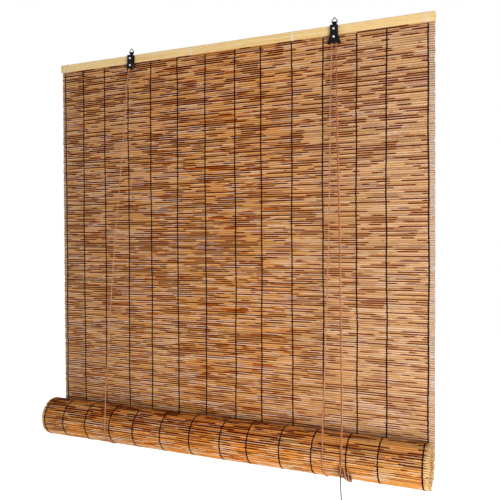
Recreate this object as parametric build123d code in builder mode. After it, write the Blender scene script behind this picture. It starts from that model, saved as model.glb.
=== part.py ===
from build123d import *
from math import ceil, cos, pi, sin
import os

# Roll-up reed blind, partly lowered. Millimetres, +Z up, -Y is the room side.
# The origin is the middle of the head rail's back face, which lies against the wall.

# Head rail: two wooden slats with the top of the mat held between them
WIDTH = 1000.0
RAIL_HEIGHT = 20.0
SLAT_THICKNESS = 6.0
SLAT_EDGE = 1.2
TIE_WIDTH = 1.6
TIE_SPACING = 2.4
TIE_THICKNESS = 0.8
TIE_SHARES = (-0.478, -0.092, 0.178, 0.481)

# Reed mat: ridges of reeds side by side, bound by rows of warp thread
REED_SIZE = 5.0
REED_BEVEL = 1.1
MAT_DROP = 937.0
CLAMPED_DEPTH = 13.0
END_GAP_LENGTH = 12.5
END_GAP_HEIGHT = 1.0
REEDS_PER_END_GAP = 4
THREAD_WIDTH = 2.4
THREAD_THICKNESS = 0.6
THREAD_LIFT = 0.1
THREAD_SHARES = (
    -0.489, -0.429, -0.358, -0.283, -0.213, -0.134, -0.054,
    0.028, 0.097, 0.175, 0.2505, 0.329, 0.396, 0.486,
)

# Roll: the lower end of the mat wound forward and up round a wooden rod, in chords for each half turn
ROD_RADIUS = 11.7
ROLL_TURNS = 5
TURN_CHORDS = 10
WINDING_GAP = 1.6
CLEARANCE = 0.3

# Hangers: folded sheet steel on the rail's front, each with a wire ring in a knuckle at its top.
# Rivet heads, fixing rivets, knuckles and pulley rims are many-sided, with this many sides.
ROUND_SIDES = 16
LEFT_X = -266.0
LOCK_X = 281.0
SHEET = 1.5
CHEEK_GAP = 6.6
PLATE_WIDTH = 16.5
PLATE_TOP = 9.0
CHEEK_RADIUS = 10.0
FIXING_Z = 0.0
FIXING_DEPTH = 4.0
AXLE_Z = -18.0
RIVET_RADIUS = 1.5
RIVET_HEAD_RADIUS = 3.2
RIVET_HEAD_HEIGHT = 1.2
RIVET_TAPER = 35.0
SKIRT_TOP = -12.0
SKIRT_BOTTOM = -32.0
SKIRT_WIDTH = 29.0
LIP_HEIGHT = 2.2
LIP_EDGE = 0.9
STRAP_WIDTH = 10.0
KNUCKLE_Z = 15.5
WIRE_RADIUS = 0.9
WIRE_SIDES = 6
RING_WIDTH = 15.5
RING_HEIGHT = 12.0
RING_CORNER = 2.2

# Pulleys inside the hangers, which the lift cords run over
PULLEY_WIDTH = 5.4
PULLEY_SIDE_GAP = 0.15
LEFT_FLANGE_RADIUS = 8.5
LOCK_FLANGE_RADIUS = 5.6
LEFT_CORD_BEND = 6.5
LOCK_CORD_BEND = 4.5

# Lift cords and the pull cord, laid cords that are six-sided here
CORD_RADIUS = 1.5
PULL_RADIUS = 2.2
TAIL_RADIUS = 1.0
CORD_SIDES = 6
LEFT_HEAD_RUN = 6.0
PULL_START_DEPTH = 6.0
LEFT_SLING_X = -293.5
LEFT_BACK_TOP_X = -264.0
RIGHT_SLING_X = 277.5
PULL_END_X = 319.5
HANK_WIDTH = 31.0
HANK_HEIGHT = 28.0
HANK_DEPTH = 10.0
HANK_EDGE = 3.0
HANK_DROP = 10.0
HANK_SIDE = 5.0
TAIL_ROUTE = ((0.0, 0.0), (0.0, -35.0), (3.0, -69.0))
TAIL_BEND_RADIUS = 349.0
KNOT_SIZE = 5.0

# Places worked out from the sizes above
rail_depth = 2 * SLAT_THICKNESS + REED_SIZE
rail_bottom = -RAIL_HEIGHT / 2
mat_y = -SLAT_THICKNESS - REED_SIZE / 2
mat_front = mat_y - REED_SIZE / 2
mat_top = rail_bottom + CLAMPED_DEPTH
mat_bottom = rail_bottom - MAT_DROP
reed_count = round((mat_top - mat_bottom) / REED_SIZE)
reed_pitch = (mat_top - mat_bottom) / reed_count
thread_top = rail_bottom - TIE_THICKNESS - CLEARANCE
thread_places = [share * WIDTH for share in THREAD_SHARES]
tie_places = [share * WIDTH + side * TIE_SPACING / 2 for share in TIE_SHARES for side in (-1, 1)]

winding_pitch = REED_SIZE + WINDING_GAP
roll_radius = ROD_RADIUS + CLEARANCE + REED_SIZE + ROLL_TURNS * winding_pitch
roll_y = mat_y + REED_SIZE / 2 - roll_radius
roll_axis = Axis((0, roll_y, mat_bottom), (1, 0, 0))
half_turns = 2 * ROLL_TURNS + 1

plate_back = rail_depth
plate_front = plate_back + 2 * SHEET + CHEEK_GAP
pulley_y = -(plate_back + SHEET + CHEEK_GAP / 2)
knuckle_y = -(plate_back + SHEET / 2)
knuckle_bore = WIRE_RADIUS + CLEARANCE
knuckle_radius = knuckle_bore + SHEET
ring_top = KNUCKLE_Z + RING_HEIGHT

chord_share = cos(pi / (2 * TURN_CHORDS))
thread_stand = (roll_radius + THREAD_LIFT) / chord_share - roll_radius
thread_proud = thread_stand + THREAD_THICKNESS
thread_turns = ((0, TURN_CHORDS, 0), (1, TURN_CHORDS - 1, 1 - 1 / TURN_CHORDS))
sling_radius = roll_radius + thread_proud + CLEARANCE + CORD_RADIUS
sling_front_y = roll_y - sling_radius
sling_back_y = roll_y + sling_radius
pull_top = AXLE_Z - PULL_START_DEPTH
hank_back = roll_radius - roll_y + thread_proud + CLEARANCE
hank_top = mat_bottom - HANK_DROP
hank_y = -(hank_back + HANK_DEPTH / 2)
hank_x = PULL_END_X - HANK_SIDE + HANK_WIDTH / 2
tail_points = [(PULL_END_X + x, hank_top - HANK_HEIGHT + z) for x, z in TAIL_ROUTE]

os.makedirs("parts", exist_ok=True)


def mat_outline():
    """Front and back outline of the hanging mat, one bevelled ridge for each reed."""
    front = []
    for reed in range(reed_count):
        top = mat_top - reed * reed_pitch
        front.append((mat_front + REED_BEVEL, top))
        front.append((mat_front, top - REED_BEVEL))
        front.append((mat_front, top - reed_pitch + REED_BEVEL))
    front.append((mat_front + REED_BEVEL, mat_bottom))
    back = [(2 * mat_y - y, z) for y, z in reversed(front)]
    return front + back


def half_turn(number):
    """Middle radius of one half turn of the spiral, and how far its centre lies from the roll's axis."""
    radius = roll_radius - REED_SIZE / 2 - number * winding_pitch / 2
    shift = -winding_pitch / 2 if number % 2 else 0
    return radius, shift


def on_half_turn(number, radius, share):
    """Point on a half turn: even ones pass below the axis to the front, odd ones above it to the back."""
    shift = half_turn(number)[1]
    angle = -pi * share if number % 2 == 0 else pi - pi * share
    return (roll_y + shift + radius * cos(angle), mat_bottom + radius * sin(angle))


def chords(number, radius, count=TURN_CHORDS):
    """Chords over a half turn, or its first few, with their corners at the given radius."""
    Polyline(*[on_half_turn(number, radius, step / TURN_CHORDS) for step in range(count + 1)])


def ridges(number):
    """Outline of the reeds that show on the outside of one half turn."""
    radius = half_turn(number)[0] + REED_SIZE / 2
    reeds = round(pi * radius / REED_SIZE)
    bevel_share = REED_BEVEL / (pi * radius)
    points = [on_half_turn(number, radius - REED_BEVEL, 0)]
    for reed in range(reeds):
        start_share = reed / reeds
        end_share = (reed + 1) / reeds
        points.append(on_half_turn(number, radius, start_share + bevel_share))
        points.append(on_half_turn(number, radius, end_share - bevel_share))
        points.append(on_half_turn(number, radius - REED_BEVEL, end_share))
    return points


def knuckle(x):
    """Strap above a back plate, curled round the foot of the wire ring."""
    with BuildSketch(Plane.XZ.offset(plate_back)) as strap:
        with Locations((x, (PLATE_TOP + KNUCKLE_Z) / 2)):
            Rectangle(STRAP_WIDTH, KNUCKLE_Z - PLATE_TOP)
    extrude(strap.sketch, amount=SHEET)
    with BuildSketch(Plane.YZ.offset(x - STRAP_WIDTH / 2)) as curl:
        with Locations((knuckle_y, KNUCKLE_Z)):
            RegularPolygon(knuckle_radius, ROUND_SIDES)
    extrude(curl.sketch, amount=STRAP_WIDTH)
    with BuildSketch(Plane.YZ.offset(x - STRAP_WIDTH / 2)) as eye:
        with Locations((knuckle_y, KNUCKLE_Z)):
            Circle(knuckle_bore)
    extrude(eye.sketch, amount=STRAP_WIDTH, mode=Mode.SUBTRACT)


def rivet_holes(x):
    """Holes for the fixing rivet and the pulley's axle, inside a plate's sketch."""
    with Locations((x, FIXING_Z)):
        RegularPolygon(RIVET_RADIUS, ROUND_SIDES, mode=Mode.SUBTRACT)
    with Locations((x, AXLE_Z)):
        Circle(RIVET_RADIUS, mode=Mode.SUBTRACT)


def cheek_outline():
    """Left hanger's cheek: a straight plate with a round foot about the axle."""
    with Locations((LEFT_X, (PLATE_TOP + AXLE_Z) / 2)):
        Rectangle(PLATE_WIDTH, PLATE_TOP - AXLE_Z)
    with Locations((LEFT_X, AXLE_Z)):
        Circle(CHEEK_RADIUS)


def lock_outline(wall):
    """Cord lock's outline, a plate that flares into a skirt, drawn in by a wall."""
    side = PLATE_WIDTH / 2 - wall
    flare = SKIRT_WIDTH / 2 - wall
    with BuildLine() as outline:
        Polyline(
            (LOCK_X - side, PLATE_TOP - wall),
            (LOCK_X + side, PLATE_TOP - wall),
            (LOCK_X + side, SKIRT_TOP),
            (LOCK_X + flare, SKIRT_BOTTOM),
            (LOCK_X - flare, SKIRT_BOTTOM),
            (LOCK_X - side, SKIRT_TOP),
            close=True,
        )
    make_face(outline.edges())


def ring_wire(x):
    """Triangle of bent wire standing in a knuckle, with its corners cut short."""
    with BuildSketch(Plane.XZ.offset(-knuckle_y)) as triangle:
        Polygon(
            (x - RING_WIDTH / 2, KNUCKLE_Z),
            (x + RING_WIDTH / 2, KNUCKLE_Z),
            (x, ring_top),
            align=None,
        )
        chamfer(triangle.vertices(), RING_CORNER)
    bent_wire = triangle.sketch.face().outer_wire()
    with BuildSketch(Plane(bent_wire @ 0, z_dir=bent_wire % 0)) as section:
        RegularPolygon(WIRE_RADIUS, WIRE_SIDES)
    sweep(section.sketch, path=bent_wire, transition=Transition.RIGHT)


def pulley(x, flange, bend):
    """Grooved wheel on a round axle, with its groove clear of the cord all round."""
    middle = Plane((x, pulley_y, AXLE_Z), x_dir=(1, 0, 0), z_dir=(0, -1, 0))
    with BuildSketch(middle) as rim:
        RegularPolygon(flange, ROUND_SIDES)
        Circle(RIVET_RADIUS + PULLEY_SIDE_GAP, mode=Mode.SUBTRACT)
    extrude(rim.sketch, amount=PULLEY_WIDTH / 2, both=True)
    with BuildSketch(middle) as groove:
        RegularPolygon(flange, ROUND_SIDES)
        RegularPolygon(bend - CORD_RADIUS - CLEARANCE, ROUND_SIDES, mode=Mode.SUBTRACT)
    extrude(groove.sketch, amount=CORD_RADIUS + CLEARANCE, both=True, mode=Mode.SUBTRACT)


def cord_run(start, end, radius):
    """Straight stretch of cord with level ends."""
    start_x, start_y, start_z = start
    with BuildSketch(Plane.XY.offset(start_z)) as section:
        with Locations((start_x, start_y)):
            RegularPolygon(radius, CORD_SIDES)
    lean = Vector(*end) - Vector(*start)
    extrude(section.sketch, amount=lean.length, dir=lean.normalized())


# Front slat, with the two holes for the fixing rivets
with BuildPart() as front_slat:
    with BuildSketch(Plane.YZ) as section:
        with Locations((mat_front - SLAT_THICKNESS / 2, 0)):
            Rectangle(SLAT_THICKNESS, RAIL_HEIGHT)
        chamfer(section.vertices(), SLAT_EDGE)
    extrude(amount=WIDTH / 2, both=True)
    with BuildSketch(Plane.XZ.offset(rail_depth)):
        with Locations((LEFT_X, FIXING_Z), (LOCK_X, FIXING_Z)):
            RegularPolygon(RIVET_RADIUS, ROUND_SIDES)
    extrude(amount=-FIXING_DEPTH, mode=Mode.SUBTRACT)
front_slat.part.label = "front_slat"
export_step(front_slat.part, "parts/front_slat.step")

# Back slat, with grooves that sink the ties below the face on the wall
with BuildPart() as back_slat:
    with BuildSketch(Plane.YZ) as section:
        with Locations((-SLAT_THICKNESS / 2, 0)):
            Rectangle(SLAT_THICKNESS, RAIL_HEIGHT)
        chamfer(section.vertices(), SLAT_EDGE)
    extrude(amount=WIDTH / 2, both=True)
    with BuildSketch(Plane.XZ):
        with Locations(*[(x, 0) for x in tie_places]):
            Rectangle(TIE_WIDTH + CLEARANCE, RAIL_HEIGHT)
    extrude(amount=TIE_THICKNESS, mode=Mode.SUBTRACT)
back_slat.part.label = "back_slat"
export_step(back_slat.part, "parts/back_slat.step")

# White ties round the slats, two turns at each place
with BuildPart() as rail_ties:
    for x in tie_places:
        with BuildSketch(Plane.YZ.offset(x - TIE_WIDTH / 2)):
            with Locations((-(rail_depth + TIE_THICKNESS) / 2, 0)):
                Rectangle(rail_depth + TIE_THICKNESS, RAIL_HEIGHT + 2 * TIE_THICKNESS)
                Rectangle(rail_depth - TIE_THICKNESS, RAIL_HEIGHT, mode=Mode.SUBTRACT)
        extrude(amount=TIE_WIDTH)
rail_ties.part.label = "rail_ties"
export_step(rail_ties.part, "parts/rail_ties.step")

# Hanging mat: ridged on both sides, reed ends apart at its right edge, slits for the ties
with BuildPart() as reed_mat:
    with BuildSketch(Plane.YZ):
        with BuildLine():
            Polyline(*mat_outline(), close=True)
        make_face()
    extrude(amount=WIDTH / 2, both=True)
    first_gap = ceil(CLAMPED_DEPTH / reed_pitch) + 1
    gap_rows = range(first_gap, reed_count, REEDS_PER_END_GAP)
    gap_places = [(WIDTH / 2, mat_top - row * reed_pitch) for row in gap_rows]
    with BuildSketch(Plane.XZ):
        with Locations(*gap_places):
            Rectangle(2 * END_GAP_LENGTH, END_GAP_HEIGHT)
        with Locations(*[(x, rail_bottom - TIE_THICKNESS / 2) for x in tie_places]):
            Rectangle(TIE_WIDTH + CLEARANCE, TIE_THICKNESS + CLEARANCE)
    extrude(amount=rail_depth, mode=Mode.SUBTRACT)
reed_mat.part.label = "reed_mat"
export_step(reed_mat.part, "parts/reed_mat.step")

# Warp threads, on the front and the back of the mat
with BuildPart() as mat_threads:
    for face in (-mat_front, SLAT_THICKNESS - THREAD_THICKNESS):
        with BuildSketch(Plane.XZ.offset(face)):
            with Locations(*[(x, (thread_top + mat_bottom) / 2) for x in thread_places]):
                Rectangle(THREAD_WIDTH, thread_top - mat_bottom)
        extrude(amount=THREAD_THICKNESS)
mat_threads.part.label = "mat_threads"
export_step(mat_threads.part, "parts/mat_threads.step")

# Roll: one spiral wall, with reeds on the turn that shows
with BuildPart() as reed_roll:
    with BuildSketch(Plane.YZ):
        with BuildLine():
            Polyline(*ridges(0))
            Polyline(*ridges(1))
            for number in range(2, half_turns):
                chords(number, half_turn(number)[0] + REED_SIZE / 2)
            for number in range(half_turns):
                chords(number, half_turn(number)[0] - REED_SIZE / 2)
            first_radius = half_turn(0)[0]
            Line(
                on_half_turn(0, first_radius + REED_SIZE / 2 - REED_BEVEL, 0),
                on_half_turn(0, first_radius - REED_SIZE / 2, 0),
            )
            Line(
                on_half_turn(1, half_turn(1)[0] + REED_SIZE / 2 - REED_BEVEL, 1),
                on_half_turn(2, half_turn(2)[0] + REED_SIZE / 2, 0),
            )
            last_radius = half_turn(half_turns - 1)[0]
            Line(
                on_half_turn(half_turns - 1, last_radius + REED_SIZE / 2, 1),
                on_half_turn(half_turns - 1, last_radius - REED_SIZE / 2, 1),
            )
        make_face()
    extrude(amount=WIDTH / 2, both=True)
reed_roll.part.label = "reed_roll"
export_step(reed_roll.part, "parts/reed_roll.step")

# Warp threads round the outside turn of the roll, out of sight where it touches the mat
with BuildPart() as roll_threads:
    for x in thread_places:
        with BuildSketch(Plane.YZ.offset(x - THREAD_WIDTH / 2)):
            with BuildLine():
                for number, count, end_share in thread_turns:
                    inner_radius = half_turn(number)[0] + REED_SIZE / 2 + thread_stand
                    chords(number, inner_radius, count)
                    chords(number, inner_radius + THREAD_THICKNESS, count)
                    Line(
                        on_half_turn(number, inner_radius, end_share),
                        on_half_turn(number, inner_radius + THREAD_THICKNESS, end_share),
                    )
            make_face()
        extrude(amount=THREAD_WIDTH)
roll_threads.part.label = "roll_threads"
export_step(roll_threads.part, "parts/roll_threads.step")

# Wooden rod at the foot of the mat, in the heart of the roll
with BuildPart() as bottom_rod:
    with BuildSketch(Plane.YZ):
        with Locations((roll_y, mat_bottom)):
            Circle(ROD_RADIUS)
    extrude(amount=WIDTH / 2, both=True)
bottom_rod.part.label = "bottom_rod"
export_step(bottom_rod.part, "parts/bottom_rod.step")

# Left hanger: back cheek on the rail with the ring's knuckle, and front cheek
with BuildPart() as left_back_cheek:
    with BuildSketch(Plane.XZ.offset(plate_back)):
        cheek_outline()
        rivet_holes(LEFT_X)
    extrude(amount=SHEET)
    knuckle(LEFT_X)
left_back_cheek.part.label = "left_back_cheek"
export_step(left_back_cheek.part, "parts/left_back_cheek.step")

with BuildPart() as left_front_cheek:
    with BuildSketch(Plane.XZ.offset(plate_front - SHEET)):
        cheek_outline()
        rivet_holes(LEFT_X)
    extrude(amount=SHEET)
left_front_cheek.part.label = "left_front_cheek"
export_step(left_front_cheek.part, "parts/left_front_cheek.step")

# Cord lock: back plate with the ring's knuckle, and a folded housing open at the foot of its skirt
with BuildPart() as lock_back_plate:
    with BuildSketch(Plane.XZ.offset(plate_back)):
        lock_outline(0)
        rivet_holes(LOCK_X)
    extrude(amount=SHEET)
    knuckle(LOCK_X)
lock_back_plate.part.label = "lock_back_plate"
export_step(lock_back_plate.part, "parts/lock_back_plate.step")

with BuildPart() as lock_housing:
    with BuildSketch(Plane.XZ.offset(plate_back + SHEET)):
        lock_outline(0)
    extrude(amount=CHEEK_GAP + SHEET)
    with BuildSketch(Plane.XY.offset(SKIRT_BOTTOM)):
        with Locations((LOCK_X, -(plate_back + SHEET + (CHEEK_GAP + SHEET + LIP_EDGE) / 2))):
            Rectangle(SKIRT_WIDTH + 2 * LIP_EDGE, CHEEK_GAP + SHEET + LIP_EDGE)
    extrude(amount=LIP_HEIGHT)
    with BuildSketch(Plane.XZ.offset(plate_back + SHEET)):
        lock_outline(SHEET)
    extrude(amount=CHEEK_GAP, mode=Mode.SUBTRACT)
    with BuildSketch(Plane.XZ.offset(plate_front)):
        with Locations((LOCK_X, FIXING_Z)):
            RegularPolygon(RIVET_RADIUS, ROUND_SIDES)
        with Locations((LOCK_X, AXLE_Z)):
            Circle(RIVET_RADIUS)
    extrude(amount=-SHEET, mode=Mode.SUBTRACT)
lock_housing.part.label = "lock_housing"
export_step(lock_housing.part, "parts/lock_housing.step")

# Rivets that fix the hangers to the rail, through both plates and into the front slat
with BuildPart() as fixing_rivets:
    for x in (LEFT_X, LOCK_X):
        with BuildSketch(Plane.XZ.offset(plate_front)):
            with Locations((x, FIXING_Z)):
                RegularPolygon(RIVET_HEAD_RADIUS, ROUND_SIDES)
        extrude(amount=RIVET_HEAD_HEIGHT, taper=RIVET_TAPER)
        with BuildSketch(Plane.XZ.offset(plate_front)):
            with Locations((x, FIXING_Z)):
                RegularPolygon(RIVET_RADIUS, ROUND_SIDES)
        extrude(amount=plate_back - FIXING_DEPTH - plate_front)
fixing_rivets.part.label = "fixing_rivets"
export_step(fixing_rivets.part, "parts/fixing_rivets.step")

# Rivets that are the pulleys' axles
with BuildPart() as axle_rivets:
    for x in (LEFT_X, LOCK_X):
        with BuildSketch(Plane.XZ.offset(plate_front)):
            with Locations((x, AXLE_Z)):
                RegularPolygon(RIVET_HEAD_RADIUS, ROUND_SIDES)
        extrude(amount=RIVET_HEAD_HEIGHT, taper=RIVET_TAPER)
        with BuildSketch(Plane.XZ.offset(plate_front)):
            with Locations((x, AXLE_Z)):
                Circle(RIVET_RADIUS)
        extrude(amount=plate_back - plate_front)
        with BuildSketch(Plane.XZ.offset(plate_back)):
            with Locations((x, AXLE_Z)):
                RegularPolygon(RIVET_HEAD_RADIUS, ROUND_SIDES)
        extrude(amount=-RIVET_HEAD_HEIGHT, taper=RIVET_TAPER)
axle_rivets.part.label = "axle_rivets"
export_step(axle_rivets.part, "parts/axle_rivets.step")

# Wire rings that the blind hangs from
with BuildPart() as left_hang_ring:
    ring_wire(LEFT_X)
left_hang_ring.part.label = "left_hang_ring"
export_step(left_hang_ring.part, "parts/left_hang_ring.step")

with BuildPart() as lock_hang_ring:
    ring_wire(LOCK_X)
lock_hang_ring.part.label = "lock_hang_ring"
export_step(lock_hang_ring.part, "parts/lock_hang_ring.step")

# Pulleys
with BuildPart() as left_pulley:
    pulley(LEFT_X, LEFT_FLANGE_RADIUS, LEFT_CORD_BEND)
left_pulley.part.label = "left_pulley"
export_step(left_pulley.part, "parts/left_pulley.step")

with BuildPart() as lock_pulley:
    pulley(LOCK_X, LOCK_FLANGE_RADIUS, LOCK_CORD_BEND)
lock_pulley.part.label = "lock_pulley"
export_step(lock_pulley.part, "parts/lock_pulley.step")

# Lift cords over the pulleys: a quarter turn in the left hanger, a half turn in the lock
with BuildPart() as cord_heads:
    with BuildSketch(Plane.XY.offset(AXLE_Z)):
        with Locations((LEFT_X - LEFT_CORD_BEND, pulley_y)):
            RegularPolygon(CORD_RADIUS, CORD_SIDES)
    revolve(axis=Axis((LEFT_X, pulley_y, AXLE_Z), (0, 1, 0)), revolution_arc=90)
    with BuildSketch(Plane.YZ.offset(LEFT_X)):
        with Locations((pulley_y, AXLE_Z + LEFT_CORD_BEND)):
            RegularPolygon(CORD_RADIUS, CORD_SIDES, rotation=90)
    extrude(amount=LEFT_HEAD_RUN)
    with BuildSketch(Plane.XY.offset(AXLE_Z)):
        with Locations((LOCK_X - LOCK_CORD_BEND, pulley_y)):
            RegularPolygon(CORD_RADIUS, CORD_SIDES)
    revolve(axis=Axis((LOCK_X, pulley_y, AXLE_Z), (0, 1, 0)), revolution_arc=180)
    with BuildSketch(Plane.XY.offset(AXLE_Z)):
        with Locations((LOCK_X + LOCK_CORD_BEND, pulley_y)):
            RegularPolygon(CORD_RADIUS, CORD_SIDES)
    extrude(amount=-PULL_START_DEPTH)
cord_heads.part.label = "cord_heads"
export_step(cord_heads.part, "parts/cord_heads.step")

# Front and back falls of the lift cords
with BuildPart() as left_front_cord:
    cord_run(
        (LEFT_X - LEFT_CORD_BEND, pulley_y, AXLE_Z),
        (LEFT_SLING_X, sling_front_y, mat_bottom),
        CORD_RADIUS,
    )
left_front_cord.part.label = "left_front_cord"
export_step(left_front_cord.part, "parts/left_front_cord.step")

with BuildPart() as right_front_cord:
    cord_run(
        (LOCK_X - LOCK_CORD_BEND, pulley_y, AXLE_Z),
        (RIGHT_SLING_X, sling_front_y, mat_bottom),
        CORD_RADIUS,
    )
right_front_cord.part.label = "right_front_cord"
export_step(right_front_cord.part, "parts/right_front_cord.step")

with BuildPart() as left_back_cord:
    cord_run(
        (LEFT_BACK_TOP_X, sling_back_y, rail_bottom),
        (LEFT_SLING_X, sling_back_y, mat_bottom),
        CORD_RADIUS,
    )
left_back_cord.part.label = "left_back_cord"
export_step(left_back_cord.part, "parts/left_back_cord.step")

with BuildPart() as right_back_cord:
    cord_run(
        (RIGHT_SLING_X, sling_back_y, rail_bottom),
        (RIGHT_SLING_X, sling_back_y, mat_bottom),
        CORD_RADIUS,
    )
right_back_cord.part.label = "right_back_cord"
export_step(right_back_cord.part, "parts/right_back_cord.step")

# Slings that carry the roll, half circles under it
with BuildPart() as cord_slings:
    with BuildSketch(Plane.XY.offset(mat_bottom)):
        with Locations((LEFT_SLING_X, sling_front_y), (RIGHT_SLING_X, sling_front_y)):
            RegularPolygon(CORD_RADIUS, CORD_SIDES)
    revolve(axis=roll_axis, revolution_arc=180)
cord_slings.part.label = "cord_slings"
export_step(cord_slings.part, "parts/cord_slings.step")

# Pull cord, its hank and its tail
with BuildPart() as pull_cord:
    cord_run(
        (LOCK_X + LOCK_CORD_BEND, pulley_y, pull_top),
        (PULL_END_X, hank_y, hank_top),
        PULL_RADIUS,
    )
pull_cord.part.label = "pull_cord"
export_step(pull_cord.part, "parts/pull_cord.step")

with BuildPart() as cord_hank:
    with BuildSketch(Plane.XZ.offset(hank_back)):
        with Locations((hank_x, hank_top - HANK_HEIGHT / 2)):
            Rectangle(HANK_WIDTH, HANK_HEIGHT)
    extrude(amount=HANK_DEPTH)
    chamfer(cord_hank.edges().filter_by(Axis.Y), HANK_EDGE)
cord_hank.part.label = "cord_hank"
export_step(cord_hank.part, "parts/cord_hank.step")

with BuildPart() as cord_tail:
    with BuildLine(Plane.XZ.offset(-hank_y)) as tail_route:
        FilletPolyline(*tail_points, radius=TAIL_BEND_RADIUS)
    with BuildSketch(Plane(tail_route.line @ 0, z_dir=tail_route.line % 0)):
        RegularPolygon(TAIL_RADIUS, CORD_SIDES)
    sweep()
    with Locations(tail_route.line @ 1):
        Box(KNOT_SIZE, KNOT_SIZE, KNOT_SIZE)
cord_tail.part.label = "cord_tail"
export_step(cord_tail.part, "parts/cord_tail.step")

bend_radii = {
    "left cord over its pulley": LEFT_CORD_BEND,
    "right cord over its pulley": LOCK_CORD_BEND,
    "slings": sling_radius,
    "tail": TAIL_BEND_RADIUS,
}
print("Bend radii of the cords in mm:", bend_radii)
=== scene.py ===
import math
import random

import bpy
import numpy as np
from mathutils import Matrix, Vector


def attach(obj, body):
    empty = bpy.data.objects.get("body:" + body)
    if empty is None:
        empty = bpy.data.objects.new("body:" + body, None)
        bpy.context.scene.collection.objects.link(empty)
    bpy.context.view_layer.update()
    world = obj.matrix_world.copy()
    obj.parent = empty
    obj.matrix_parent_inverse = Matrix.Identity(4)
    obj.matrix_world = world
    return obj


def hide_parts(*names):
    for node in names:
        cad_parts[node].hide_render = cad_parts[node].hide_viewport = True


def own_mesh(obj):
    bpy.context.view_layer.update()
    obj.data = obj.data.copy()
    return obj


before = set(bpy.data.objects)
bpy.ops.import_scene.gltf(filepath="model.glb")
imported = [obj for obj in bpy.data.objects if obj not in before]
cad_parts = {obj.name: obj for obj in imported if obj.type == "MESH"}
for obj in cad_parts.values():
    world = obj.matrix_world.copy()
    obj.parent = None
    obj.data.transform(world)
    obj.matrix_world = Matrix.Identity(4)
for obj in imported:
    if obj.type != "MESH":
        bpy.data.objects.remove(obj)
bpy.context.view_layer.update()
chance = random.Random(7)

# Sizes of the blind in metres, as in the part
HALF_WIDTH = 0.5
RAIL_BOTTOM = -0.010
MAT_Y = -0.0085
MAT_TOP = 0.003
MAT_BOTTOM = -0.947
REED_PITCH = 0.005
REED_COUNT = 190
REED_RADIUS = 0.0025
ROLL_Y = -0.056
ROLL_RADIUS = 0.050
WINDING_PITCH = 0.0066
HALF_TURNS = 11
LEFT_X = -0.266
LOCK_X = 0.281
PLATE_FRONT = -0.0266
PULLEY_Y = -0.0218
AXLE_Z = -0.018
KNUCKLE_Y = -0.01775
KNUCKLE_Z = 0.0155
FULL_TURN = 2 * math.pi

# Reeds: their nodes and ends along X, and how much they differ
REED_SIDES = 8
REED_END = 0.4885
REED_TIP = 0.498
REED_BENDS = (
    REED_TIP, REED_END, REED_END - 0.004, 0.36, 0.22, 0.08,
    -0.06, -0.2, -0.34, 0.004 - REED_END, -REED_END, -REED_TIP,
)
NEAR = 0.0001
END_FACING = 0.9
HOLLOW_WALL = 0.3 * REED_RADIUS
HOLLOW_DEPTH = 2 * REED_RADIUS
HOLLOW_REACH = 0.8 * REED_RADIUS
OUTER_SHARE = 0.9
CUT_SPREAD = 0.0007
ROLL_CUT_SPREAD = 3 * CUT_SPREAD
BENDS_EACH_WAY = 3
BEND_RATES = (2, 9)
PHASES = (0, 6.3)
SWELL = 0.03
SWELL_RATES = (5, 12)
MAT_Y_SPREAD = 0.0003
MAT_WANDER = 0.00008
ROLL_WANDER = 0.00012
CLAMPED_SHARE = 0.96
MAT_SHARES = (1.09, 1.16)
MAT_LEFT_SHARES = (1.0, 1.08)
MAT_RIGHT_SHARES = (0.88, 1.04)
ROLL_SHARES = (0.96, 1.04)
ROLL_END_SHARES = (0.94, 1.0)

# Warp threads
THREAD_PLACES = (
    -0.489, -0.429, -0.358, -0.283, -0.213, -0.134, -0.054,
    0.028, 0.097, 0.175, 0.2505, 0.329, 0.396, 0.486,
)
THREAD_WIDTH = 0.0036
THREAD_THICKNESS = 0.0006
THREAD_TOP = RAIL_BOTTOM - 0.003
THREAD_LEANS = (0.10, 0.22)
THREAD_JITTER = 0.00018
SLOW_SWAY, SLOW_RATE = 0.0008, 9
QUICK_SWAY, QUICK_RATE = 0.0005, 31

# Cords: the front ones stay in their hangers above the mouth and climb with the roll below the climb
MOUTH_Z = -0.040
CLIMB_Z = -0.897
CORD_RADIUS = 0.0015
PULL_LEG_RADIUS = 0.0012
PULL_TWIST = 2.5
LIT_LEG_START = -2.06
HANK_RADIUS = 0.0014
TAIL_RADIUS = 0.0014
KNOT_RADIUS = 0.0010
KNOT_PLACE = (0.3229, -0.1126, -1.0515)
KNOT_HEIGHT = 0.0042
KNOT_LOOP = 0.0016
KNOT_STEPS = 22
KNOT_STEPS_A_TURN = 7
STRANDS = 3
STRAND_SHARE = 0.50
LAY_RADII = 6
FALL_POINTS = 1000
ASKEW = Vector((0.31, 0.90, 0.30))
SLING_FRONT_Y = -0.1080
SLING_BACK_Y = -0.0035
SLING_RADIUS = 0.0508
SLING_STEP = 30
LEFT_SLING_X = -0.2935
RIGHT_SLING_X = 0.2775
PULL_END = (0.3195, -0.1126, -0.957)

# Ties, rings and pulleys
TIE_PLACES = (-0.478, -0.092, 0.178, 0.481)
TIE_TURNS = (-0.0012, 0.0012)
TIE_THREADS = (-0.0004, 0.0004)
TIE_SLACK = 0.00012
TIE_RADIUS = 0.00042
RING_WIRE_RADIUS = 0.0010
SHANK_RADIUS = 0.0015
BORE_RADIUS = 0.00165
HALF_WHEEL = 0.0027

# Camera, lamps and ground
LENS = 45.18
CAMERA_PLACE = (0.6843, -1.3963, -0.4750)
CAMERA_TURN = (89.125, 0.25, 24.025)
SKY_TINT = (0.95, 0.97, 1)
SKY_STRENGTH = 0.40
FLOOR_Z = -1.45
FLOOR_GLOW = 0.9
WHITE = (1, 1, 1)


def let_go():
    """Leaves object mode with nothing selected."""
    if bpy.context.mode != "OBJECT":
        bpy.ops.object.mode_set(mode="OBJECT")
    bpy.ops.object.select_all(action="DESELECT")


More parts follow.
